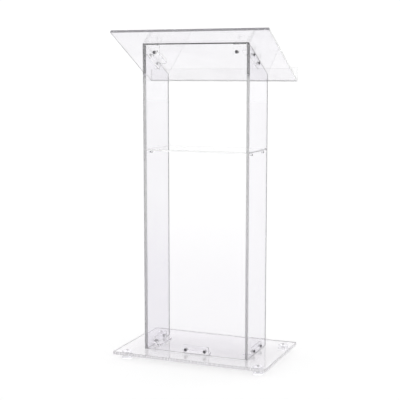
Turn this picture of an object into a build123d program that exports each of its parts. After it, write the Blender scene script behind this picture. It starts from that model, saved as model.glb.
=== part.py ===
from build123d import *
import math
import os

# Clear acrylic presentation lectern that bolts together from flat sheets. The angle brackets
# are bonded to the base plate, the desk and the side panels, and each is bolted to a panel.
# Millimetres. +Z is up and Z = 0 is the floor. X = 0 is the middle of the width, and
# Y = 0 is the middle of the base plate. The audience stands on the -Y side, the speaker on +Y.

# ---- driving dimensions -------------------------------------------------------------------

SHEET = 10.0               # thickness of the upright panels, the desk and the lip
BASE_SIZE = (600.0, 380.0, 12.0)
PEDESTAL_WIDTH = 409.0     # over the outer faces of the side panels
PEDESTAL_DEPTH = 213.0     # front face of the front panel to the side panels' rear edges
FRONT_MARGIN = 78.0        # base plate showing ahead of the front panel
PANEL_HEIGHT = 1140.0      # front panel, from the base plate to its top front edge
DESK_SIZE = (600.0, 380.0)  # width, and length along the slope
DESK_SLOPE = 27.5          # degrees, falling towards the speaker
DESK_OVERHANG = 80.0       # desk beyond the front panel, along the slope
LIP_HEIGHT = 54.0
SHELF_THICKNESS = 6.0
SHELF_TOP = 755.0          # above the base plate
AIR_GAP = 0.2              # glue line or air film between two faces that meet
EDGE_BEVEL = 0.6           # polished bevel round every sheet

BRACKET_LEG = 30.0
BRACKET_THICKNESS = 5.0
BRACKET_BEND = 5.0         # outside radius of the bend
BRACKET_CORNER = 6.0       # rounding of the free corners
BRACKET_INNER = 1.0        # inside radius of the bend
BASE_BRACKET_LENGTH = 104.0
BASE_BOLT_SPACING = 76.0
DESK_BRACKET_LENGTH = 96.0
DESK_BOLT_SPACING = 62.0
DESK_BRACKET_MIDDLE = 100.0  # along the slope from the front panel's top edge
SIDE_BRACKET_BACK = 118.0    # middle of the side base brackets, behind the front face
BASE_BOLT_HEIGHT = 13.0      # above the base plate
DESK_BOLT_DROP = 12.2        # under the desk, square to it
CORNER_BRACKET_WIDTH = 52.0
CORNER_BRACKET_SIDE = 20.0   # leg on the side panel
CORNER_BRACKET_DROP = 46.0   # below the front panel's top front edge
CORNER_BOLT = (46.0, 33.0)   # in from the side panel's outer face, down from the top edge

BOLT_RADIUS = 3.0
BOLT_HOLE_RADIUS = 3.3
BOLT_IN_NUT = 6.0            # length of the shank beyond the bracket
BOLT_END_BEVEL = 0.6
HEAD_RADIUS = 5.5
HEAD_HEIGHT = 3.2
SOCKET_FLATS = 4.0
SOCKET_DEPTH = 1.8
WASHER = (7.0, 3.15, 1.0)    # outer radius, inner radius, thickness
NUT_FLATS = 10.0
NUT_HEX_HEIGHT = 5.0
NUT_DOME_RADIUS = 4.7
NUT_BORE_RADIUS = 3.05
NUT_BORE_DEPTH = 7.0

PEG_RADIUS = 3.5
PEG_LENGTH = 9.5             # in the side panel
PEG_CLEARANCE = 0.1
PEG_HEAD_RADIUS = 5.0
PEG_HEAD_LENGTH = 7.0
PEG_HEAD_BEVEL = 0.8
PEG_INSET = 38.0             # from the front and rear edges of the shelf

FOOT_RADIUS = 20.0
FOOT_CLEARANCE = 0.4         # between the foot and the base plate when it is screwed home
FLOOR_TO_BASE = 20.0
FOOT_INSET = 40.0            # foot axis from the two nearest base edges
FOOT_ROUNDING = 2.0
STUD_RADIUS = 4.0
STUD_RUNNING_FIT = 0.05
STUD_IN_FOOT = 13.0
STUD_IN_BASE = 11.0
STUD_END_GAP = 0.3           # between the stud's end and the bottom of the foot's bore
STUD_BEVEL = 0.6

# ---- places worked out from them ----------------------------------------------------------

BASE_TOP = FLOOR_TO_BASE + BASE_SIZE[2]
FRONT_Y = -BASE_SIZE[1] / 2 + FRONT_MARGIN
PANEL_BACK_Y = FRONT_Y + SHEET
SIDE_FRONT_Y = PANEL_BACK_Y + AIR_GAP
REAR_Y = FRONT_Y + PEDESTAL_DEPTH
PANEL_TOP = BASE_TOP + PANEL_HEIGHT
OUTER_X = PEDESTAL_WIDTH / 2
INNER_X = OUTER_X - SHEET
GRIP = SHEET + AIR_GAP + BRACKET_THICKNESS    # panel and bracket leg under one bolt
TOUCH = 0.01               # how near an edge must be to count as the one looked for

# The desk's underside plane: local Y runs down the slope, local Z leaves it upwards.
SLOPE = Pos(0, FRONT_Y, PANEL_TOP) * Rot(-DESK_SLOPE, 0, 0)

# A bolt's own frame has its head at +Z and its shank along -Z.
FACING = {
    "-Y": Rot(90, 0, 0),
    "+X": Rot(0, 90, 0),
    "-X": Rot(0, -90, 0),
}


def span(x, y, z):
    """A box between the low and high values given for each axis."""
    middle = [(low + high) / 2 for low, high in (x, y, z)]
    return Pos(*middle) * Box(x[1] - x[0], y[1] - y[0], z[1] - z[0])


def bevelled(sheet):
    return chamfer(sheet.edges(), EDGE_BEVEL)


def above_slope():
    """Everything over the desk's underside plane, used to cut the tops on the slope."""
    reach = 2 * BASE_SIZE[0]
    return SLOPE * span((-reach, reach), (-reach, reach), (0, reach))


# ---- fasteners ----------------------------------------------------------------------------

def pan_bolt(grip):
    """Button head with a hex socket; grip is what the bolt clamps, washer included."""
    dome = HEAD_RADIUS ** 2 / (2 * HEAD_HEIGHT) + HEAD_HEIGHT / 2
    head = Cylinder(HEAD_RADIUS, HEAD_HEIGHT, align=(Align.CENTER, Align.CENTER, Align.MIN))
    head &= Pos(0, 0, HEAD_HEIGHT - dome) * Sphere(dome)
    socket = extrude(RegularPolygon(SOCKET_FLATS / 2, 6, major_radius=False), SOCKET_DEPTH)
    length = grip + BOLT_IN_NUT
    shank = Pos(0, 0, -length / 2) * Cylinder(BOLT_RADIUS, length)
    shank = chamfer(shank.edges().sort_by(Axis.Z)[0], BOLT_END_BEVEL)
    return head + shank - Pos(0, 0, HEAD_HEIGHT - SOCKET_DEPTH) * socket


def washer():
    """Clear nylon washer between a head and the acrylic."""
    outer, inner, thickness = WASHER
    ring = Cylinder(outer, thickness) - Cylinder(inner, thickness)
    return Pos(0, 0, thickness / 2) * ring


def cap_nut():
    """Domed nut; it sits on Z = 0 and its dome points to -Z."""
    hexagon = extrude(RegularPolygon(NUT_FLATS / 2, 6, major_radius=False), -NUT_HEX_HEIGHT)
    dome = Pos(0, 0, -NUT_HEX_HEIGHT) * Sphere(NUT_DOME_RADIUS)
    bore = Pos(0, 0, -NUT_BORE_DEPTH / 2) * Cylinder(NUT_BORE_RADIUS, NUT_BORE_DEPTH)
    return hexagon + dome - bore


def bolt_hole():
    return Cylinder(BOLT_HOLE_RADIUS, 4 * GRIP)


# ---- where the bolts are: each place is the point on the outer face, head outwards ---------

def desk_places():
    """Through the side panels, into the desk brackets' upright legs."""
    places = []
    for side, facing in ((-1, "-X"), (1, "+X")):
        for step in (-0.5, 0.5):
            along = DESK_BRACKET_MIDDLE + step * DESK_BOLT_SPACING
            places.append(SLOPE * Pos(side * OUTER_X, along, -DESK_BOLT_DROP) * FACING[facing])
    return places


def corner_places():
    """Through the front panel, into the corner brackets."""
    inset, drop = CORNER_BOLT
    return [
        Pos(side * (OUTER_X - inset), FRONT_Y, PANEL_TOP - drop) * FACING["-Y"]
        for side in (-1, 1)
    ]


def base_front_places():
    """Through the front panel, into the front base bracket."""
    return [
        Pos(step * BASE_BOLT_SPACING, FRONT_Y, BASE_TOP + BASE_BOLT_HEIGHT) * FACING["-Y"]
        for step in (-0.5, 0.5)
    ]


def base_side_places():
    """Through the side panels, into the side base brackets."""
    middle = FRONT_Y + SIDE_BRACKET_BACK
    height = BASE_TOP + BASE_BOLT_HEIGHT
    places = []
    for side, facing in ((-1, "-X"), (1, "+X")):
        for step in (-0.5, 0.5):
            y = middle + step * BASE_BOLT_SPACING
            places.append(Pos(side * OUTER_X, y, height) * FACING[facing])
    return places


# ---- sheets -------------------------------------------------------------------------------

def foot_places():
    x = BASE_SIZE[0] / 2 - FOOT_INSET
    y = BASE_SIZE[1] / 2 - FOOT_INSET
    return {
        "front_left": (-x, -y),
        "front_right": (x, -y),
        "rear_left": (-x, y),
        "rear_right": (x, y),
    }


def base_plate():
    width, depth, _ = BASE_SIZE
    plate = bevelled(span((-width / 2, width / 2), (-depth / 2, depth / 2), (FLOOR_TO_BASE, BASE_TOP)))
    for x, y in foot_places().values():
        plate -= Pos(x, y, FLOOR_TO_BASE) * Cylinder(STUD_RADIUS + STUD_RUNNING_FIT, 3 * BASE_SIZE[2])
    return plate


def front_panel():
    block = span((-OUTER_X, OUTER_X), (FRONT_Y, PANEL_BACK_Y), (BASE_TOP + AIR_GAP, PANEL_TOP + SHEET))
    panel = bevelled((block - above_slope()).solid())
    for place in corner_places() + base_front_places():
        panel -= place * bolt_hole()
    return panel


def side_panel(side):
    x = sorted((side * INNER_X, side * OUTER_X))
    block = span(x, (SIDE_FRONT_Y, REAR_Y), (BASE_TOP + AIR_GAP, PANEL_TOP + SHEET))
    panel = bevelled((block - above_slope()).solid())
    for place in desk_places() + base_side_places():
        if place.position.X * side > 0:
            panel -= place * bolt_hole()
    for peg_side, y in peg_places():
        if peg_side == side:
            hole = Cylinder(PEG_RADIUS + PEG_CLEARANCE, 4 * SHEET)
            panel -= Pos(side * OUTER_X, y, peg_height()) * FACING["+X"] * hole
    return panel


def shelf():
    x = (AIR_GAP - INNER_X, INNER_X - AIR_GAP)
    z = (BASE_TOP + SHELF_TOP - SHELF_THICKNESS, BASE_TOP + SHELF_TOP)
    return bevelled(span(x, (SIDE_FRONT_Y, REAR_Y), z))


def desk_end_y():
    """Where the desk's lower end is cut upright to meet the lip."""
    slope = math.radians(DESK_SLOPE)
    return FRONT_Y + (DESK_SIZE[1] - DESK_OVERHANG) * math.cos(slope)


def reading_desk():
    half = DESK_SIZE[0] / 2
    along = (-DESK_OVERHANG, DESK_SIZE[1])
    sheet = SLOPE * span((-half, half), along, (AIR_GAP, AIR_GAP + SHEET))
    sheet -= span((-DESK_SIZE[0], DESK_SIZE[0]), (desk_end_y(), 2 * DESK_SIZE[1]), (0, 2 * PANEL_TOP))
    return bevelled(sheet.solid())


def paper_lip():
    half = DESK_SIZE[0] / 2
    slope = math.radians(DESK_SLOPE)
    bottom = PANEL_TOP - (desk_end_y() - FRONT_Y) * math.tan(slope) + AIR_GAP / math.cos(slope)
    near = desk_end_y() + AIR_GAP
    return bevelled(span((-half, half), (near, near + SHEET), (bottom, bottom + LIP_HEIGHT)))


# ---- brackets -----------------------------------------------------------------------------

def angle_strip(length):
    """Bent acrylic angle. It runs along local Y, centred, with its outer corner on the axis;
    one leg lies on the plane Z = 0 towards +X, the other stands on the plane X = 0 towards +Z."""
    t = BRACKET_THICKNESS
    leg = BRACKET_LEG
    outline = Polyline((0, 0), (leg, 0), (leg, t), (t, t), (t, leg), (0, leg), close=True)
    face = Plane.XZ * make_face(outline)
    strip = Pos(0, length / 2, 0) * extrude(face, length)
    along = strip.edges().filter_by(Axis.Y)
    strip = fillet(along.sort_by(lambda edge: edge.center().X + edge.center().Z)[0], BRACKET_BEND)
    inner = [e for e in strip.edges().filter_by(Axis.Y)
             if abs(e.center().X - t) < TOUCH and abs(e.center().Z - t) < TOUCH]
    strip = fillet(inner, BRACKET_INNER)
    tips = [e for e in strip.edges().filter_by(Axis.Z) if e.center().X > leg - TOUCH]
    tips += [e for e in strip.edges().filter_by(Axis.X) if e.center().Z > leg - TOUCH]
    return fillet(tips, BRACKET_CORNER)


def drilled(bracket, places):
    for place in places:
        bracket -= place * bolt_hole()
    return bracket


def desk_bracket(side):
    """Bonded under the desk and bolted to the side panel's inner face, along the slope."""
    strip = Rot(0, 180, 0) * angle_strip(DESK_BRACKET_LENGTH)
    if side < 0:
        strip = Rot(0, 0, 180) * strip
    at = SLOPE * Pos(side * (INNER_X - AIR_GAP), DESK_BRACKET_MIDDLE, 0)
    return drilled(at * strip, desk_places())


def base_bracket(side):
    """Bonded to the base plate and bolted to a panel's inner face; side 0 is the front's."""
    strip = angle_strip(BASE_BRACKET_LENGTH)
    floor = BASE_TOP + AIR_GAP
    middle = FRONT_Y + SIDE_BRACKET_BACK
    if side == 0:
        at = Pos(0, PANEL_BACK_Y + AIR_GAP, floor) * Rot(0, 0, 90)
    elif side < 0:
        at = Pos(AIR_GAP - INNER_X, middle, floor)
    else:
        at = Pos(INNER_X - AIR_GAP, middle, floor) * Rot(0, 0, 180)
    return drilled(at * strip, base_front_places() + base_side_places())


def corner_bracket(side):
    """Upright angle in the top front corner: bolted to the front panel, bonded to the side."""
    low = PANEL_TOP - CORNER_BRACKET_DROP
    height = CORNER_BRACKET_DROP + SHEET
    t = BRACKET_THICKNESS
    wall = INNER_X - AIR_GAP
    y0 = PANEL_BACK_Y + AIR_GAP
    front_leg = span((wall - CORNER_BRACKET_WIDTH, wall), (y0, y0 + t), (low, low + height))
    side_leg = span((wall - t, wall), (y0, y0 + CORNER_BRACKET_SIDE), (low, low + height))
    angle = front_leg + side_leg - above_slope()
    free = [e for e in angle.edges()
            if abs(e.center().Z - low) < TOUCH and e.length < t + TOUCH
            and (e.center().X < wall - CORNER_BRACKET_WIDTH + TOUCH
                 or e.center().Y > y0 + CORNER_BRACKET_SIDE - TOUCH)]
    angle = fillet(free, BRACKET_CORNER)
    bend = [e for e in angle.edges().filter_by(Axis.Z)
            if e.center().X > wall - TOUCH and e.center().Y < y0 + TOUCH]
    angle = fillet(bend, BRACKET_BEND)
    if side < 0:
        angle = mirror(angle, about=Plane.YZ)
    return drilled(angle, corner_places())


# ---- shelf pegs and feet ------------------------------------------------------------------

def peg_height():
    """Axis of the pegs, so that the shelf lies on their heads."""
    return BASE_TOP + SHELF_TOP - SHELF_THICKNESS - AIR_GAP - PEG_HEAD_RADIUS


def peg_places():
    return [(side, y) for side in (-1, 1) for y in (SIDE_FRONT_Y + PEG_INSET, REAR_Y - PEG_INSET)]


def shelf_pegs():
    """Clear pegs pushed into the side panels from inside, with a collar under the shelf."""
    pegs = []
    for side, y in peg_places():
        stem_length = PEG_LENGTH + 2 * AIR_GAP
        stem = Pos(0, 0, 2 * AIR_GAP - stem_length / 2) * Cylinder(PEG_RADIUS, stem_length)
        collar = Pos(0, 0, AIR_GAP + PEG_HEAD_LENGTH / 2) * Cylinder(PEG_HEAD_RADIUS, PEG_HEAD_LENGTH)
        collar = chamfer(collar.edges().sort_by(Axis.Z)[-1], PEG_HEAD_BEVEL)
        facing = "-X" if side > 0 else "+X"
        pegs.append(Pos(side * INNER_X, y, peg_height()) * FACING[facing] * (stem + collar))
    return pegs


def foot_pad(x, y):
    """Clear disc that carries the lectern, with a blind bore for its stud."""
    height = FLOOR_TO_BASE - FOOT_CLEARANCE
    disc = Pos(0, 0, height / 2) * Cylinder(FOOT_RADIUS, height)
    disc = fillet(disc.edges().filter_by(GeomType.CIRCLE), FOOT_ROUNDING)
    bore = Pos(0, 0, height - STUD_IN_FOOT / 2) * Cylinder(STUD_RADIUS + STUD_RUNNING_FIT, STUD_IN_FOOT)
    return Pos(x, y, 0) * (disc - bore)


def foot_stud(x, y):
    """Clear threaded stud between a foot and the base plate, drawn without its thread."""
    bottom = FLOOR_TO_BASE - FOOT_CLEARANCE - STUD_IN_FOOT + STUD_END_GAP
    length = FLOOR_TO_BASE + STUD_IN_BASE - bottom
    stud = Cylinder(STUD_RADIUS, length)
    stud = chamfer(stud.edges().filter_by(GeomType.CIRCLE), STUD_BEVEL)
    return Pos(x, y, bottom + length / 2) * stud


# ---- writing the parts --------------------------------------------------------------------

def as_one(solids):
    return solids[0] if len(solids) == 1 else Compound(children=list(solids))


def bolt_sets():
    """The bolts, nylon washers and cap nuts of each place, one node for each kind."""
    sets = {
        "desk": desk_places(),
        "corner": corner_places(),
        "base_front": base_front_places(),
        "base_side": base_side_places(),
    }
    raised = WASHER[2]
    bolt = pan_bolt(GRIP + raised)
    nodes = {}
    for name, places in sets.items():
        nodes[name + "_bolts"] = as_one([place * Pos(0, 0, raised) * bolt for place in places])
        nodes[name + "_washers"] = as_one([place * washer() for place in places])
        nodes[name + "_nuts"] = as_one([place * Pos(0, 0, -GRIP) * cap_nut() for place in places])
    return nodes


def lectern():
    nodes = {
        "base_plate": base_plate(),
        "front_panel": front_panel(),
        "side_panel_left": side_panel(-1),
        "side_panel_right": side_panel(1),
        "shelf": shelf(),
        "shelf_pegs": as_one(shelf_pegs()),
        "reading_desk": reading_desk(),
        "paper_lip": paper_lip(),
        "desk_bracket_left": desk_bracket(-1),
        "desk_bracket_right": desk_bracket(1),
        "corner_bracket_left": corner_bracket(-1),
        "corner_bracket_right": corner_bracket(1),
        "base_bracket_front": base_bracket(0),
        "base_bracket_left": base_bracket(-1),
        "base_bracket_right": base_bracket(1),
    }
    nodes.update(bolt_sets())
    for corner, (x, y) in foot_places().items():
        nodes["foot_" + corner] = foot_pad(x, y)
        nodes["foot_stud_" + corner] = foot_stud(x, y)
    return nodes


os.makedirs("parts", exist_ok=True)
for node, shape in lectern().items():
    export_step(shape, "parts/" + node + ".step")
    print(node, round(shape.volume), "mm3")
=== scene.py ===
import math

import bpy
from mathutils import Matrix, Vector


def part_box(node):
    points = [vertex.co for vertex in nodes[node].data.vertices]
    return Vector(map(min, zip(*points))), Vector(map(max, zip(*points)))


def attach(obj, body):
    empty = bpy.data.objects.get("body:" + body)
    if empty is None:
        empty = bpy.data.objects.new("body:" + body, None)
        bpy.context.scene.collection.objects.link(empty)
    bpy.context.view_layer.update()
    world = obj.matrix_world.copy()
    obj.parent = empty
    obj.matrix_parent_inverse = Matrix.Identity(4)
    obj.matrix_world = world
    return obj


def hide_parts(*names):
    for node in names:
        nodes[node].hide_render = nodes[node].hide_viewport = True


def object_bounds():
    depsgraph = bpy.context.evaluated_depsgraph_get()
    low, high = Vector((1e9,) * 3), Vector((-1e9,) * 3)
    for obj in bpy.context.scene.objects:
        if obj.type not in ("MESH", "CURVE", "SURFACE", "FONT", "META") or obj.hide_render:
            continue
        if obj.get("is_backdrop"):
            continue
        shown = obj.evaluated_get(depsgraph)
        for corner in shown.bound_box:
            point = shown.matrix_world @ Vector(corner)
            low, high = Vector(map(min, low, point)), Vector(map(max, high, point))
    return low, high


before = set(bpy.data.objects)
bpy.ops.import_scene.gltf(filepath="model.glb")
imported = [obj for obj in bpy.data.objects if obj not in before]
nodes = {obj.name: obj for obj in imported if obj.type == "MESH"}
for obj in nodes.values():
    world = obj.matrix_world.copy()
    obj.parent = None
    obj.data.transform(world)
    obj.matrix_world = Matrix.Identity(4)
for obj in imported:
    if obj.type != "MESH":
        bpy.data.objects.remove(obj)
cad_low, cad_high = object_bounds()

# --- Camera -------------------------------------------------------------------------------
# Stands before the audience's side, to the right, a little under the height of the desk.

EYE = (1.347, -3.348, 1.070)
TURN = math.radians(22.286)
TILT = math.radians(7.4955)
LENS = 87.74                 # mm, on the sensor's width
SENSOR = 36.0
FAR_CLIP = 100.0

camera = bpy.data.objects.new("camera", bpy.data.cameras.new("camera"))
bpy.context.scene.collection.objects.link(camera)
camera.location = EYE
camera.rotation_euler = (math.pi / 2 - TILT, 0.0, TURN)
camera.data.lens = LENS
camera.data.sensor_width = SENSOR
camera.data.clip_end = FAR_CLIP
bpy.context.scene.camera = camera

# --- Studio -------------------------------------------------------------------------------
# A white sweep all round and a dimmer ceiling: clear edges bend the view up to the ceiling,
# which is what draws their lines. The floor glows a little, so that it is as white.

CLEAR_BOUNCES = 40           # light passes many faces before it leaves a sheet's edge
GLOSSY_BOUNCES = 16
DIFFUSE_BOUNCES = 3
BACKDROP = 1.06
CEILING = 0.30
CEILING_FROM = 0.30          # sine of the elevation where the sweep starts to dim
CEILING_TO = 0.80
FLOOR_GLOW = 0.57
FLOOR_REACH = 30.0
FLOOR_GREY = 0.86
FLOOR_ROUGHNESS = 0.6

scene = bpy.context.scene
scene.view_settings.view_transform = "Standard"
scene.cycles.max_bounces = CLEAR_BOUNCES
scene.cycles.transmission_bounces = CLEAR_BOUNCES
scene.cycles.glossy_bounces = GLOSSY_BOUNCES
scene.cycles.transparent_max_bounces = GLOSSY_BOUNCES
scene.cycles.diffuse_bounces = DIFFUSE_BOUNCES


def add_node(tree, kind, **settings):
    node = tree.nodes.new(kind)
    for name, value in settings.items():
        setattr(node, name, value)
    return node


def map_range(tree, value, low, high, to_low, to_high):
    """Smoothly turns low..high of a value into to_low..to_high."""
    node = add_node(tree, "ShaderNodeMapRange", interpolation_type="SMOOTHSTEP")
    for name, number in (("From Min", low), ("From Max", high),
                         ("To Min", to_low), ("To Max", to_high)):
        node.inputs[name].default_value = number
    tree.links.new(value, node.inputs["Value"])
    return node.outputs["Result"]


def new_material(name):
    """A material, its node tree and its shader."""
    material = bpy.data.materials.new(name)
    material.use_nodes = True
    tree = material.node_tree
    return material, tree, tree.nodes["Principled BSDF"]


world = bpy.data.worlds.new("studio")
scene.world = world
world.use_nodes = True
sky = world.node_tree
sky.nodes.clear()
direction = add_node(sky, "ShaderNodeTexCoord")
heading = add_node(sky, "ShaderNodeSeparateXYZ")
background = add_node(sky, "ShaderNodeBackground")
background.inputs["Color"].default_value = (1.0, 1.0, 1.0, 1.0)
sky_out = add_node(sky, "ShaderNodeOutputWorld")
sky.links.new(direction.outputs["Generated"], heading.inputs[0])
glow = map_range(sky, heading.outputs["Z"], CEILING_FROM, CEILING_TO, BACKDROP, CEILING)
sky.links.new(glow, background.inputs["Strength"])
sky.links.new(background.outputs[0], sky_out.inputs["Surface"])

floor_mesh = bpy.data.meshes.new("floor")
floor_corners = ((-1, -1), (1, -1), (1, 1), (-1, 1))
floor_mesh.from_pydata([(FLOOR_REACH * x, FLOOR_REACH * y, 0.0) for x, y in floor_corners],
                       [], [(0, 1, 2, 3)])
floor = bpy.data.objects.new("floor", floor_mesh)
scene.collection.objects.link(floor)
floor_paint, _, paint = new_material("floor_paint")
paint.inputs["Base Color"].default_value = (FLOOR_GREY, FLOOR_GREY, FLOOR_GREY, 1.0)
paint.inputs["Roughness"].default_value = FLOOR_ROUGHNESS
paint.inputs["Specular IOR Level"].default_value = 0.0
paint.inputs["Emission Color"].default_value = (1.0, 1.0, 1.0, 1.0)
paint.inputs["Emission Strength"].default_value = FLOOR_GLOW
floor_mesh.materials.append(floor_paint)
floor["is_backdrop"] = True

# --- Clear sheets -------------------------------------------------------------------------
# Base plate, front and side panels, shelf, desk and lip: cast acrylic, sawn to size. The
# edges are polished. The side panels' edges behind their front and the desk's edges at its
# high end are painted dark grey, a painted shade for the dark lines that the dim ceiling
# draws in clear edges, and each sheet's color changes with height, a painted reflection of
# the studio. Faces have hairline scratches and a faint film from wiping. The sheets bolt or
# bond to the angle brackets, the lip to the desk.

ACRYLIC_IOR = 1.49
CLEAR = (1.0, 1.0, 1.0)
INSIDE_COLOR = (0.42, 0.40, 0.50, 1.0)   # what a long way through the acrylic takes on
HEIGHT = cad_high[2]

WIPE_SIZE = (0.20, 0.14, 0.11)           # patches that a cloth leaves
WIPE_TURN = (0.3, 0.0, 0.5)
FILM_LEAST, FILM_MOST = 0.5, 1.5         # times the film, between and on the patches
HAIR_SIZE = (0.020, 0.0009, 0.0009)      # scratches one way
HAIR_TURN = (0.2, 0.5, 0.35)
CROSS_SIZE = (0.0009, 0.014, 0.0009)     # and across
CROSS_TURN = (0.9, 0.2, -0.6)
HAIR_FROM, HAIR_TO = 0.66, 0.78          # where the noise turns into a scratch
NOISE_LOW, NOISE_MEAN, NOISE_HIGH = 0.3, 0.5, 0.7   # where most of the noise lies
HAIR_ROUGHNESS = 0.05
HAIR_DULLING = 0.03
CLOUDING = 0.35                          # how far the wipe pattern shifts the painted reflection along the height
SAW_PITCH = 0.0007                       # a saw mark's width and length
SAW_LENGTH = 0.020
SAW_LOW, SAW_HIGH = 0.2, 0.8
HAZE_LEAST, HAZE_MOST = 0.85, 1.15       # times the haze, in and between the saw marks
SAW_DEPTH = 0.5                          # of a saw mark against a scratch, in the bump
SCRATCH_DEPTH = -0.2
BUMP_STRENGTH = 0.25
BUMP_HEIGHT = 0.00002
FACE_FROM, EDGE_TO = 0.95, 0.60          # cosine to the sheet's normal on a face, on an edge
POLISH_LEAVES = 0.2                      # share of the haze on the best polished edges
BOND_FROST = 4.0                         # times the saw marks' roughness on a bonded edge


def math_node(tree, operation, first, second=None):
    """A Math node on two sockets or numbers."""
    node = add_node(tree, "ShaderNodeMath", operation=operation)
    for socket, value in zip(node.inputs, (first, second)):
        if isinstance(value, (int, float)):
            socket.default_value = value
        elif value is not None:
            tree.links.new(value, socket)
    return node.outputs[0]


def plus(tree, first, second):
    return math_node(tree, "ADD", first, second)


def minus(tree, first, second):
    return math_node(tree, "SUBTRACT", first, second)


def times(tree, first, second):
    return math_node(tree, "MULTIPLY", first, second)


def blend_color(tree, factor, low, high):
    """From one color to another; each is three numbers or a socket."""
    node = add_node(tree, "ShaderNodeMix", data_type="RGBA")
    for socket, color in ((node.inputs[6], low), (node.inputs[7], high)):
        if isinstance(color, tuple):
            socket.default_value = (*color, 1.0)
        else:
            tree.links.new(color, socket)
    tree.links.new(factor, node.inputs[0])
    return node.outputs[2]


def streaks(tree, coordinates, size, turn=(0.0, 0.0, 0.0), detail=2.0):
    """Noise drawn out to a size in metres along each of its three axes, which are turned."""
    place = add_node(tree, "ShaderNodeMapping", vector_type="TEXTURE")
    place.inputs["Scale"].default_value = size
    place.inputs["Rotation"].default_value = turn
    noise = add_node(tree, "ShaderNodeTexNoise")
    noise.inputs["Scale"].default_value = 1.0
    noise.inputs["Detail"].default_value = detail
    tree.links.new(coordinates, place.inputs["Vector"])
    tree.links.new(place.outputs[0], noise.inputs["Vector"])
    return noise.outputs["Fac"]


def bumped(tree, height, strength, distance):
    node = add_node(tree, "ShaderNodeBump")
    node.inputs["Strength"].default_value = strength
    node.inputs["Distance"].default_value = distance
    tree.links.new(height, node.inputs["Height"])
    return node.outputs[0]


def sawn_edge(through, frost, haze, color=CLEAR, far=None, polished=None, bonded=None,
              pitch=0.0):
    """The finish of a sheet's edges. through is the direction through the sheet, before it is
    pitched about X. frost is the roughness of a saw mark and haze how much light the edge
    scatters. color is the edge's color, and far is (color, from, to) where the color changes
    along Y; where either is dark grey, it is a painted shade for the dark lines that the dim
    ceiling draws in clear edges. Between the two heights polished, the edge turns to a clearer
    polish. Between the two places bonded along Y it turns to a sawn edge that cement has
    wetted, matt but without haze."""
    return dict(through=through, frost=frost, haze=haze, color=color, far=far,
                polished=polished, bonded=bonded, pitch=pitch)


def clear_acrylic(name, low, high, film, depth=1.2, heights=(0.0, HEIGHT), edge=None):
    """Clear acrylic whose color goes from low to high between two heights, a painted reflection
    of the studio on top of the acrylic's own color. film is how much of a face wiping has
    dulled, and depth how much the inside absorbs."""
    material, tree, body = new_material(name)
    body.inputs["IOR"].default_value = ACRYLIC_IOR
    coords = add_node(tree, "ShaderNodeTexCoord")
    where = coords.outputs["Object"]
    split = add_node(tree, "ShaderNodeSeparateXYZ")
    tree.links.new(where, split.inputs[0])

    wipe = streaks(tree, where, WIPE_SIZE, WIPE_TURN, detail=4.0)
    hair = math_node(tree, "MAXIMUM", streaks(tree, where, HAIR_SIZE, HAIR_TURN),
                     streaks(tree, where, CROSS_SIZE, CROSS_TURN))
    hair = map_range(tree, hair, HAIR_FROM, HAIR_TO, 0.0, 1.0)

    # Painted reflection: the color changes with height, and the wipe pattern shifts it up and
    # down.
    reflection_by_height = map_range(tree, split.outputs["Z"], *heights, 0.0, 1.0)
    cloud = times(tree, minus(tree, wipe, NOISE_MEAN), CLOUDING)
    tint_and_shade = blend_color(tree, plus(tree, reflection_by_height, cloud), low, high)
    roughness = times(tree, hair, HAIR_ROUGHNESS)
    dulled = times(tree, map_range(
        tree, wipe, NOISE_LOW, NOISE_HIGH, FILM_LEAST, FILM_MOST), film)
    dulled = plus(tree, dulled, times(tree, hair, HAIR_DULLING))
    relief = times(tree, hair, SCRATCH_DEPTH)

    if edge:
        normal = Matrix.Rotation(-edge["pitch"], 3, "X") @ Vector(edge["through"])
        facing = add_node(tree, "ShaderNodeVectorMath", operation="DOT_PRODUCT")
        facing.inputs[1].default_value = normal
        tree.links.new(coords.outputs["Normal"], facing.inputs[0])
        on_edge = map_range(tree, math_node(tree, "ABSOLUTE", facing.outputs["Value"]),
                            EDGE_TO, FACE_FROM, 1.0, 0.0)
        mark = [SAW_PITCH + SAW_LENGTH * axis for axis in edge["through"]]
        saw = streaks(tree, where, mark, (-edge["pitch"], 0.0, 0.0))
        # The edge color, where it is dark grey, is painted shade: the dark lines that the dim
        # ceiling draws in clear edges.
        color = edge["color"]
        if edge["far"]:
            far_color, start, end = edge["far"]
            to_far = map_range(tree, split.outputs["Y"], start, end, 0.0, 1.0)
            color = blend_color(tree, to_far, color, far_color)
        tint_and_shade = blend_color(tree, on_edge, tint_and_shade, color)
        frost = times(tree, times(tree, saw, on_edge), edge["frost"] / NOISE_MEAN)
        if edge["bonded"]:
            frost = times(tree, frost, map_range(
                tree, split.outputs["Y"], *edge["bonded"], 1.0, BOND_FROST))
        roughness = plus(tree, roughness, frost)
        milky = times(tree, map_range(
            tree, saw, SAW_LOW, SAW_HIGH, HAZE_LEAST, HAZE_MOST), edge["haze"])
        if edge["polished"]:
            milky = times(tree, milky, map_range(
                tree, split.outputs["Z"], *edge["polished"], 1.0, POLISH_LEAVES))
        if edge["bonded"]:
            milky = times(tree, milky, map_range(
                tree, split.outputs["Y"], *edge["bonded"], 1.0, 0.0))
        dulled = plus(tree, dulled, times(tree, milky, on_edge))
        relief = plus(tree, relief, times(tree, times(tree, saw, on_edge), SAW_DEPTH))

    tree.links.new(tint_and_shade, body.inputs["Base Color"])
    tree.links.new(roughness, body.inputs["Roughness"])
    tree.links.new(minus(tree, 1.0, dulled), body.inputs["Transmission Weight"])
    tree.links.new(bumped(tree, relief, BUMP_STRENGTH, BUMP_HEIGHT), body.inputs["Normal"])
    inside = add_node(tree, "ShaderNodeVolumeAbsorption")
    inside.inputs["Color"].default_value = INSIDE_COLOR
    inside.inputs["Density"].default_value = depth
    tree.links.new(inside.outputs[0], tree.nodes["Material Output"].inputs["Volume"])
    return material


def dress(material, *names):
    """Gives CAD nodes their material."""
    for name in names:
        nodes[name].data.materials.clear()
        nodes[name].data.materials.append(material)


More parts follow.
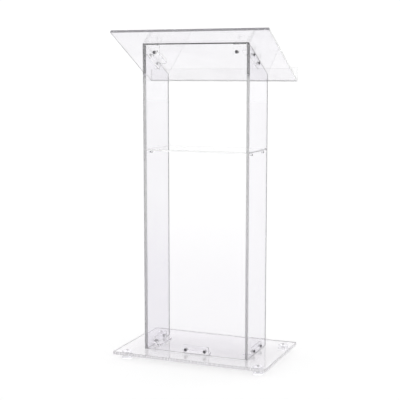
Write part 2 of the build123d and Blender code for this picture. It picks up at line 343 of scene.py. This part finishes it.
X, Y, Z = (1.0, 0.0, 0.0), (0.0, 1.0, 0.0), (0.0, 0.0, 1.0)
DESK_SLOPE = math.radians(27.5)
UNDER_DESK = (HEIGHT - 0.175, HEIGHT - 0.155)
FACE_TINT = (0.985, 0.98, 0.99)          # the faintest tint, on thin pieces
PANEL_REFLECTION_DEEPEST, PANEL_REFLECTION_GONE = 0.28, 0.66  # heights between which the front panel's painted reflection fades out
SIDE_EDGE_SHADE_REACH = 0.02                        # how far back from its front a side panel's edges turn to painted shade, dark grey
DESK_EDGE_SHADE_END = (0.006, 0.012)                # from where to where the desk's edges turn from painted shade, dark grey at its high end, to clear
BOND = (0.002, 0.001)                    # how near the low end its bonded finish starts
side_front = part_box("side_panel_left")[0][1]
desk_low, desk_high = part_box("reading_desk")

# The front panel's color darkens towards the bottom: painted reflection.
dress(clear_acrylic(
    "clear_front", (0.943, 0.934, 0.955), CLEAR, film=0.01,
    heights=(PANEL_REFLECTION_DEEPEST, PANEL_REFLECTION_GONE),
    edge=sawn_edge(Y, frost=0.15, haze=0.42, color=(0.96, 0.95, 0.97), polished=UNDER_DESK)),
    "front_panel")
# The side panels' color is painted shade, darker than the front panel's, and painted reflection,
# darker towards the bottom. Behind their front their edges are painted dark grey: painted shade
# for the lines the dim ceiling draws in clear edges.
dress(clear_acrylic(
    "clear_side", (0.906, 0.896, 0.926), (0.938, 0.930, 0.956), film=0.02,
    edge=sawn_edge(X, frost=0.2, haze=0.88, polished=UNDER_DESK,
                   far=((0.34, 0.33, 0.36), side_front, side_front + SIDE_EDGE_SHADE_REACH))),
    "side_panel_left", "side_panel_right")
dress(clear_acrylic(
    "clear_base", (0.983, 0.970, 0.988), CLEAR, film=0.03,
    edge=sawn_edge(Z, frost=0.25, haze=0.6, color=(0.98, 0.965, 0.985))),
    "base_plate")
dress(clear_acrylic(
    "clear_shelf", FACE_TINT, CLEAR, film=0.02, depth=0.2,
    edge=sawn_edge(Z, frost=0.1, haze=0.0)),
    "shelf")
# The desk's color darkens towards its high end: painted reflection. Its edges at the high end
# are painted dark grey: painted shade for the line the dim ceiling draws there.
dress(clear_acrylic(
    "clear_desk", (0.945, 0.936, 0.955), (0.885, 0.876, 0.902), film=0.03, depth=0.6,
    heights=(desk_low[2], desk_high[2]),
    edge=sawn_edge(Z, frost=0.2, haze=0.75, color=(0.48, 0.47, 0.50), pitch=DESK_SLOPE,
                   far=(CLEAR, desk_low[1] + DESK_EDGE_SHADE_END[0], desk_low[1] + DESK_EDGE_SHADE_END[1]),
                   bonded=(desk_high[1] - BOND[0], desk_high[1] - BOND[1]))),
    "reading_desk")
dress(clear_acrylic(
    "clear_lip", FACE_TINT, CLEAR, film=0.03, depth=0.3,
    edge=sawn_edge(Y, frost=0.25, haze=0.9)),
    "paper_lip")

# --- Angle brackets -----------------------------------------------------------------------
# Strips of clear acrylic, heated and bent to a right angle, with rounded ears. One leg is
# bonded to a sheet, and a bolt or two goes through the other.

dress(clear_acrylic("clear_bent_strip", FACE_TINT, CLEAR, film=0.0, depth=0.2),
      *[name for name in nodes if "bracket" in name])

# --- Bolts --------------------------------------------------------------------------------
# Stainless M6 button heads with a hex socket, through a panel and a bracket's leg. They are
# blackened, and the wrench has rubbed the socket and the rim bright.

BOLT_RADIUS = 0.003
HEAD_RADIUS = 0.0055
HEAD_HEIGHT = 0.0032
DOME_EASE = 1.03             # leaves the head a short upright rim
SOCKET_FLATS = 0.004
SOCKET_DEPTH = 0.0018
WASHER_THICKNESS = 0.001
GRIP = 0.0152                # panel, air gap and bracket leg
BOLT_IN_NUT = 0.006
M6_PITCH = 0.001
CORE_SHARE = 0.9             # of the shank's radius, inside the thread
CORE_IN_HEAD = 0.0001
RIDGE_SHARE = 0.87           # where the thread's ridge is centered
RIDGE_SIZE = 0.42            # of the pitch
ROUND_SIDES = 48
HEX_SIDES = 6
CREASE = math.radians(32.0)
BODY = "lectern"
BOLT_GROUPS = {"desk": "sides", "corner": "front", "base_front": "front", "base_side": "sides"}


def size_tree(name, sizes):
    """A Geometry Nodes tree with an input for each size, and the sockets by their names."""
    tree = bpy.data.node_groups.new(name, "GeometryNodeTree")
    tree.interface.new_socket("Places", in_out="INPUT", socket_type="NodeSocketGeometry")
    tree.interface.new_socket("Result", in_out="OUTPUT", socket_type="NodeSocketGeometry")
    for size, value in sizes.items():
        socket = tree.interface.new_socket(size, in_out="INPUT", socket_type="NodeSocketFloat")
        socket.default_value = value
    given = add_node(tree, "NodeGroupInput").outputs
    return tree, {name: given[name] for name in ("Places", *sizes)}


def wire(tree, node, **sources):
    """Feeds a node's inputs, named with underscores for spaces, from sockets or values."""
    for name, source in sources.items():
        socket = node.inputs[name.replace("_", " ")]
        if isinstance(source, bpy.types.NodeSocket):
            tree.links.new(source, socket)
        else:
            socket.default_value = source
    return node.outputs[0]


def moved(tree, geometry, z):
    """The geometry raised by z, a socket or a number."""
    up = add_node(tree, "ShaderNodeCombineXYZ")
    move = add_node(tree, "GeometryNodeTransform")
    return wire(tree, move, Geometry=geometry, Translation=wire(tree, up, Z=z))


def cylinder(tree, radius, bottom, top, sides=ROUND_SIDES):
    """A closed cylinder about the Z axis between two heights."""
    node = add_node(tree, "GeometryNodeMeshCylinder")
    depth = minus(tree, top, bottom)
    middle = times(tree, plus(tree, top, bottom), 0.5)
    return moved(tree, wire(tree, node, Vertices=sides, Radius=radius, Depth=depth), middle)


def ball(tree, radius, z):
    node = add_node(tree, "GeometryNodeMeshUVSphere")
    return moved(tree, wire(tree, node, Segments=ROUND_SIDES, Rings=32, Radius=radius), z)


def combine(tree, operation, first, second):
    """A boolean of two closed meshes."""
    node = add_node(tree, "GeometryNodeMeshBoolean", operation=operation)
    tree.links.new(first, node.inputs[0 if operation == "DIFFERENCE" else 1])
    tree.links.new(second, node.inputs[1])
    return node.outputs[0]


def join(tree, *geometries):
    node = add_node(tree, "GeometryNodeJoinGeometry")
    for geometry in geometries:
        tree.links.new(geometry, node.inputs[0])
    return node.outputs[0]


def thread(tree, radius, pitch, bottom, length, ridge_size=RIDGE_SIZE):
    """The ridge of a screw thread, wound up from a height."""
    turns = math_node(tree, "DIVIDE", length, pitch)
    spiral = add_node(tree, "GeometryNodeCurveSpiral")
    wire(tree, spiral, Resolution=20, Rotations=turns, Start_Radius=radius, End_Radius=radius,
         Height=length)
    ridge = add_node(tree, "GeometryNodeCurvePrimitiveCircle")
    wire(tree, ridge, Resolution=4, Radius=times(tree, pitch, ridge_size))
    sweep = add_node(tree, "GeometryNodeCurveToMesh")
    sweep.inputs["Fill Caps"].default_value = True
    tree.links.new(spiral.outputs[0], sweep.inputs["Curve"])
    tree.links.new(ridge.outputs[0], sweep.inputs["Profile Curve"])
    return moved(tree, sweep.outputs[0], bottom)


def set_at_places(tree, places, shape, material, seed):
    """Puts the shape at each place, along the place's axis and turned at random about it."""
    axis = add_node(tree, "GeometryNodeInputNamedAttribute", data_type="FLOAT_VECTOR")
    axis.inputs["Name"].default_value = "axis"
    align = add_node(tree, "FunctionNodeAlignRotationToVector", axis="Z")
    tree.links.new(axis.outputs[0], align.inputs["Vector"])
    turn = add_node(tree, "FunctionNodeRandomValue", data_type="FLOAT")
    turn.inputs[2].default_value = 0.0
    turn.inputs[3].default_value = math.tau
    turn.inputs["Seed"].default_value = seed
    about = add_node(tree, "FunctionNodeAxisAngleToRotation")
    wire(tree, about, Axis=Z, Angle=turn.outputs[1])
    rotate = add_node(tree, "FunctionNodeRotateRotation", rotation_space="LOCAL")
    wire(tree, rotate, Rotation=align.outputs[0], Rotate_By=about.outputs[0])
    instances = add_node(tree, "GeometryNodeInstanceOnPoints")
    wire(tree, instances, Points=places, Instance=shape, Rotation=rotate.outputs[0])
    realize = add_node(tree, "GeometryNodeRealizeInstances")
    real = wire(tree, realize, Geometry=instances.outputs[0])
    finish = add_node(tree, "GeometryNodeSetMaterial")
    result = wire(tree, finish, Geometry=real, Material=material)
    tree.links.new(result, add_node(tree, "NodeGroupOutput").inputs[0])


def as_piece(mesh, crease):
    """An object of the mesh, smooth but for its creases."""
    mesh.polygons.foreach_set("use_smooth", [True] * len(mesh.polygons))
    mesh.set_sharp_from_angle(angle=crease)
    piece = bpy.data.objects.new(mesh.name, mesh)
    scene.collection.objects.link(piece)
    return piece


def grown(name, tree, places, **sizes):
    """A plain mesh object: the tree's result on points at (place, axis), with these sizes in
    place of the tree's own."""
    seeds = bpy.data.meshes.new(name + "_places")
    seeds.from_pydata([place for place, _ in places], [], [])
    axes = seeds.attributes.new("axis", "FLOAT_VECTOR", "POINT")
    for item, (_, axis) in zip(axes.data, places):
        item.vector = axis
    holder = bpy.data.objects.new(name + "_places", seeds)
    scene.collection.objects.link(holder)
    modifier = holder.modifiers.new("shape", "NODES")
    modifier.node_group = tree
    for item in tree.interface.items_tree:
        if item.in_out == "INPUT" and item.socket_type == "NodeSocketFloat":
            modifier[item.identifier] = sizes.get(item.name, item.default_value)
    evaluated = holder.evaluated_get(bpy.context.evaluated_depsgraph_get())
    mesh = bpy.data.meshes.new_from_object(evaluated)
    holder.modifiers.remove(modifier)
    bpy.data.objects.remove(holder)
    mesh.name = name
    return as_piece(mesh, CREASE)


def seats(group):
    """Where a group's heads are: (top of the head's middle, outward axis) for each bolt."""
    low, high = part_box(group + "_bolts")
    if BOLT_GROUPS[group] == "front":
        z = (low[2] + high[2]) / 2
        return [(Vector((x, low[1] + HEAD_HEIGHT, z)), Vector((0.0, -1.0, 0.0)))
                for x in (low[0] + HEAD_RADIUS, high[0] - HEAD_RADIUS)]
    upper = (low[1] + HEAD_RADIUS, high[2] - HEAD_RADIUS)
    lower = (high[1] - HEAD_RADIUS, low[2] + HEAD_RADIUS)
    return [(Vector((x, y, z)), Vector((outward, 0.0, 0.0)))
            for x, outward in ((low[0] + HEAD_HEIGHT, -1.0), (high[0] - HEAD_HEIGHT, 1.0))
            for y, z in (upper, lower)]


def at_bolts(kind, tree):
    """One piece for each group of bolts, which stands for the group's CAD node."""
    for group in BOLT_GROUPS:
        piece = grown(kind + "_" + group, tree, seats(group))
        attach(piece, BODY)
        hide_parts(group + "_" + kind)


MOTTLE_SIZE = (0.0014, 0.0014, 0.0014)   # grime and bright specks
MOTTLE_SHARE = 0.35
MARK_SIZE = (0.0004, 0.0004, 0.0017)     # fine marks of the tool
MARK_TURN = (0.4, 0.7, 0.0)
MARK_ROUGHNESS = 0.18
MARK_BUMP, MARK_HEIGHT = 0.3, 0.00003
WEAR_WIDTH = 0.06                        # how softly wear starts, in pointiness


def worn_metal(name, color, bright, smoothest, wear_from):
    """Metal that is rubbed bright where it stands out, with fine marks and a little grime."""
    material, tree, body = new_material(name)
    body.inputs["Metallic"].default_value = 1.0
    where = add_node(tree, "ShaderNodeTexCoord").outputs["Object"]
    sharpness = add_node(tree, "ShaderNodeNewGeometry").outputs["Pointiness"]
    rubbed = map_range(tree, sharpness, wear_from, wear_from + WEAR_WIDTH, 0.0, 1.0)
    mottle = times(tree, streaks(tree, where, MOTTLE_SIZE, detail=5.0), MOTTLE_SHARE)
    marks = streaks(tree, where, MARK_SIZE, MARK_TURN)
    worn = math_node(tree, "MAXIMUM", rubbed, mottle)
    roughness = plus(tree, smoothest, times(tree, marks, MARK_ROUGHNESS))
    tree.links.new(blend_color(tree, worn, color, bright), body.inputs["Base Color"])
    tree.links.new(roughness, body.inputs["Roughness"])
    tree.links.new(bumped(tree, marks, MARK_BUMP, MARK_HEIGHT), body.inputs["Normal"])
    return material


bolt_finish = worn_metal("blackened_steel", (0.075, 0.07, 0.08), (0.5, 0.5, 0.52), 0.24, 0.52)
bolt, size = size_tree("button_head_bolt", {
    "Head Radius": HEAD_RADIUS, "Head Height": HEAD_HEIGHT,
    "Socket Radius": SOCKET_FLATS / math.sqrt(3.0), "Socket Depth": SOCKET_DEPTH,
    "Shank Radius": BOLT_RADIUS, "Pitch": M6_PITCH,
    "Length": WASHER_THICKNESS + GRIP + BOLT_IN_NUT})
radius, height, pitch = size["Head Radius"], size["Head Height"], size["Pitch"]
wide = math_node(bolt, "DIVIDE", times(bolt, radius, radius), times(bolt, height, 2.0))
dome = plus(bolt, wide, times(bolt, height, 0.5))
head = combine(bolt, "INTERSECT", cylinder(bolt, radius, 0.0, height),
               ball(bolt, times(bolt, dome, DOME_EASE), minus(bolt, height, dome)))
socket = cylinder(bolt, size["Socket Radius"], minus(bolt, height, size["Socket Depth"]),
                  times(bolt, height, 2.0), sides=HEX_SIDES)
head = combine(bolt, "DIFFERENCE", head, socket)
tip = times(bolt, size["Length"], -1.0)
core = cylinder(bolt, times(bolt, size["Shank Radius"], CORE_SHARE), tip, CORE_IN_HEAD)
ridge = thread(bolt, times(bolt, size["Shank Radius"], RIDGE_SHARE), pitch,
               plus(bolt, tip, pitch), minus(bolt, size["Length"], times(bolt, pitch, 2.0)))
set_at_places(bolt, size["Places"], join(bolt, head, core, ridge), bolt_finish, seed=4)
at_bolts("bolts", bolt)

# --- Washers ------------------------------------------------------------------------------
# Natural nylon, one under each head so that the steel doesn't crack the acrylic.

WASHER_RADIUS = 0.007
WASHER_HOLE = 0.00315
NYLON_IOR = 1.53
NYLON_CLEARNESS = 0.75
NYLON_DARK, NYLON_LIGHT = (0.84, 0.84, 0.84), (0.95, 0.95, 0.94)
NYLON_SMOOTH, NYLON_ROUGH = 0.12, 0.35
GRAIN_SIZE = (0.0011, 0.0011, 0.0011)

nylon, tree, body = new_material("natural_nylon")
body.inputs["IOR"].default_value = NYLON_IOR
body.inputs["Transmission Weight"].default_value = NYLON_CLEARNESS
where = add_node(tree, "ShaderNodeTexCoord").outputs["Object"]
grain = streaks(tree, where, GRAIN_SIZE, detail=4.0)
grain_rough = map_range(tree, grain, NOISE_LOW, NOISE_HIGH, NYLON_SMOOTH, NYLON_ROUGH)
tree.links.new(blend_color(tree, grain, NYLON_DARK, NYLON_LIGHT), body.inputs["Base Color"])
tree.links.new(grain_rough, body.inputs["Roughness"])

washer, size = size_tree("flat_washer", {
    "Radius": WASHER_RADIUS, "Hole Radius": WASHER_HOLE, "Thickness": WASHER_THICKNESS})
under = times(washer, size["Thickness"], -1.0)
disc = cylinder(washer, size["Radius"], under, 0.0)
hole = cylinder(washer, size["Hole Radius"], times(washer, under, 2.0), size["Thickness"])
ring = combine(washer, "DIFFERENCE", disc, hole)
set_at_places(washer, size["Places"], ring, nylon, seed=7)
at_bolts("washers", washer)

# --- Cap nuts -----------------------------------------------------------------------------
# Polished stainless domed nuts inside the pedestal, tight against the brackets' legs.

NUT_FLATS = 0.010
NUT_HEX_HEIGHT = 0.005
NUT_DOME = 0.0047
NUT_BORE = 0.00305
NUT_BORE_DEPTH = 0.007
NUT_CROWN = 0.0063           # ball that rounds the six corners
NUT_SEAT = -(WASHER_THICKNESS + GRIP)

nut_finish = worn_metal("polished_stainless", (0.88, 0.88, 0.90), (0.97, 0.97, 0.97), 0.06, 0.55)
nut, size = size_tree("cap_nut", {
    "Hex Radius": NUT_FLATS / math.sqrt(3.0), "Hex Height": NUT_HEX_HEIGHT,
    "Dome Radius": NUT_DOME, "Bore Radius": NUT_BORE, "Bore Depth": NUT_BORE_DEPTH,
    "Crown Radius": NUT_CROWN})
below = minus(nut, NUT_SEAT, size["Hex Height"])
middle = minus(nut, NUT_SEAT, times(nut, size["Hex Height"], 0.5))
prism = cylinder(nut, size["Hex Radius"], below, NUT_SEAT, sides=HEX_SIDES)
prism = combine(nut, "INTERSECT", prism, ball(nut, size["Crown Radius"], middle))
shell = combine(nut, "UNION", prism, ball(nut, size["Dome Radius"], below))
bore = cylinder(nut, size["Bore Radius"], minus(nut, NUT_SEAT, size["Bore Depth"]),
                NUT_SEAT + NUT_HEX_HEIGHT)
hollow = combine(nut, "DIFFERENCE", shell, bore)
set_at_places(nut, size["Places"], hollow, nut_finish, seed=11)
at_bolts("nuts", nut)

# --- Shelf pegs ---------------------------------------------------------------------------
# Four clear acrylic pegs, pushed into the side panels from inside. The shelf lies on them.

PEG_RADIUS = 0.0035
PEG_COLLAR = 0.005
PEG_COLLAR_BEVEL = 0.0008
PEG_IN_PANEL = 0.0095
PEG_COLLAR_FROM = 0.0002
PEG_COLLAR_TO = 0.0072

rod = clear_acrylic("clear_rod", FACE_TINT, CLEAR, film=0.05)
peg, size = size_tree("shelf_peg", {
    "Stem Radius": PEG_RADIUS, "Stem Length": PEG_IN_PANEL, "Collar Radius": PEG_COLLAR,
    "Bevel": PEG_COLLAR_BEVEL})
stem = cylinder(peg, size["Stem Radius"], times(peg, size["Stem Length"], -1.0),
                2 * PEG_COLLAR_FROM)
shoulder = minus(peg, PEG_COLLAR_TO, size["Bevel"])
collar = cylinder(peg, size["Collar Radius"], PEG_COLLAR_FROM, shoulder)
end = wire(peg, add_node(peg, "GeometryNodeMeshCone"), Vertices=ROUND_SIDES,
           Radius_Bottom=size["Collar Radius"], Depth=size["Bevel"],
           Radius_Top=minus(peg, size["Collar Radius"], size["Bevel"]))
collar = combine(peg, "UNION", collar, moved(peg, end, shoulder))
set_at_places(peg, size["Places"], combine(peg, "UNION", collar, stem), rod, seed=3)

low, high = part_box("shelf_pegs")
inner_left, inner_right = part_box("side_panel_left")[1][0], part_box("side_panel_right")[0][0]
peg_places = [
    (Vector((x, y, (low[2] + high[2]) / 2)), Vector((inward, 0.0, 0.0)))
    for x, inward in ((inner_left, 1.0), (inner_right, -1.0))
    for y in (low[1] + PEG_COLLAR, high[1] - PEG_COLLAR)
]
pegs = grown("pegs_under_shelf", peg, peg_places)
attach(pegs, BODY)
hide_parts("shelf_pegs")

# --- Levelling feet -----------------------------------------------------------------------
# Turned clear discs on threaded clear studs, which screw into the base plate. The disc has a
# rounded rim, a groove at its waist and a shallow ring underneath; the stud is bonded to it.

RIM_ROUNDING = 0.002
WAIST_GROOVE = 0.0007
RING_RADIUS = 0.013
RING_DEPTH = 0.0004
RING_WIDTH = 0.0012
M8_RADIUS = 0.004
M8_PITCH = 0.00125
STUD_CORE_SHARE = 0.88
STUD_RIDGE_SIZE = 0.38
STUD_LENGTH = 0.02
STUD_GAP = 0.00005
TURN_STEPS = 96
FOOT_CREASE = math.radians(35.0)


def turned(name, outline, x, y):
    """A closed shape turned about an upright axis at x, y, from outline points (radius,
    height) that run from the axis at the bottom round to the axis again at the top."""
    points, faces, rings = [], [], []
    for radius, height in outline:
        if radius == 0.0:
            rings.append([len(points)] * TURN_STEPS)
            points.append((x, y, height))
            continue
        rings.append([len(points) + step for step in range(TURN_STEPS)])
        for step in range(TURN_STEPS):
            angle = math.tau * step / TURN_STEPS
            points.append((x + radius * math.cos(angle), y + radius * math.sin(angle), height))
    for below, above in zip(rings, rings[1:]):
        for step in range(TURN_STEPS):
            after = (step + 1) % TURN_STEPS
            corners = (below[step], below[after], above[after], above[step])
            faces.append(tuple(dict.fromkeys(corners)))
    mesh = bpy.data.meshes.new(name)
    mesh.from_pydata(points, [], faces)
    return as_piece(mesh, FOOT_CREASE)


def rounded(center_radius, center_height, size, start, steps=8):
    """Points of a quarter round, from the angle start on, in degrees."""
    angles = [math.radians(start + 90.0 * step / steps) for step in range(steps + 1)]
    return [(center_radius + size * math.cos(angle), center_height + size * math.sin(angle))
            for angle in angles]


def foot_outline(reach, top, stud_bottom):
    """Half of the disc's section: underneath with its ring, rim, waist, rim and bore."""
    bore, waist = M8_RADIUS + STUD_GAP, top / 2
    bore_floor = stud_bottom - STUD_GAP
    return [
        (0.0, 0.0), (RING_RADIUS - RING_WIDTH, 0.0), (RING_RADIUS, RING_DEPTH),
        (RING_RADIUS + RING_WIDTH, 0.0),
        *rounded(reach - RIM_ROUNDING, RIM_ROUNDING, RIM_ROUNDING, -90.0),
        (reach, waist - WAIST_GROOVE), (reach - WAIST_GROOVE, waist),
        (reach, waist + WAIST_GROOVE),
        *rounded(reach - RIM_ROUNDING, top - RIM_ROUNDING, RIM_ROUNDING, 0.0),
        (bore, top), (bore, bore_floor), (0.0, bore_floor),
    ]


foot_acrylic = clear_acrylic("clear_turned_foot", (0.96, 0.96, 0.97), CLEAR, film=0.02,
                             depth=8.0)
stud, size = size_tree("foot_stud", {
    "Radius": M8_RADIUS, "Pitch": M8_PITCH, "Length": STUD_LENGTH})
length, pitch = size["Length"], size["Pitch"]
core = cylinder(stud, times(stud, size["Radius"], STUD_CORE_SHARE), 0.0, length)
ridge = thread(stud, times(stud, size["Radius"], RIDGE_SHARE), pitch, pitch,
               minus(stud, length, times(stud, pitch, 2.0)), STUD_RIDGE_SIZE)
set_at_places(stud, size["Places"], join(stud, core, ridge), rod, seed=1)

for corner in ("front_left", "front_right", "rear_left", "rear_right"):
    low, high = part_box("foot_" + corner)
    stud_low, stud_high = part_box("foot_stud_" + corner)
    x, y = (low[0] + high[0]) / 2, (low[1] + high[1]) / 2
    outline = foot_outline((high[0] - low[0]) / 2, high[2], stud_low[2])
    foot = turned("levelling_foot_" + corner, outline, x, y)
    foot.data.materials.append(foot_acrylic)
    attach(foot, "foot_" + corner)
    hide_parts("foot_" + corner)

    place = Vector((x, y, stud_low[2]))
    threaded = grown("threaded_stud_" + corner, stud, [(place, Vector(Z))],
                     Length=stud_high[2] - stud_low[2])
    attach(threaded, "stud_" + corner)
    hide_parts("foot_stud_" + corner)

low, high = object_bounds()
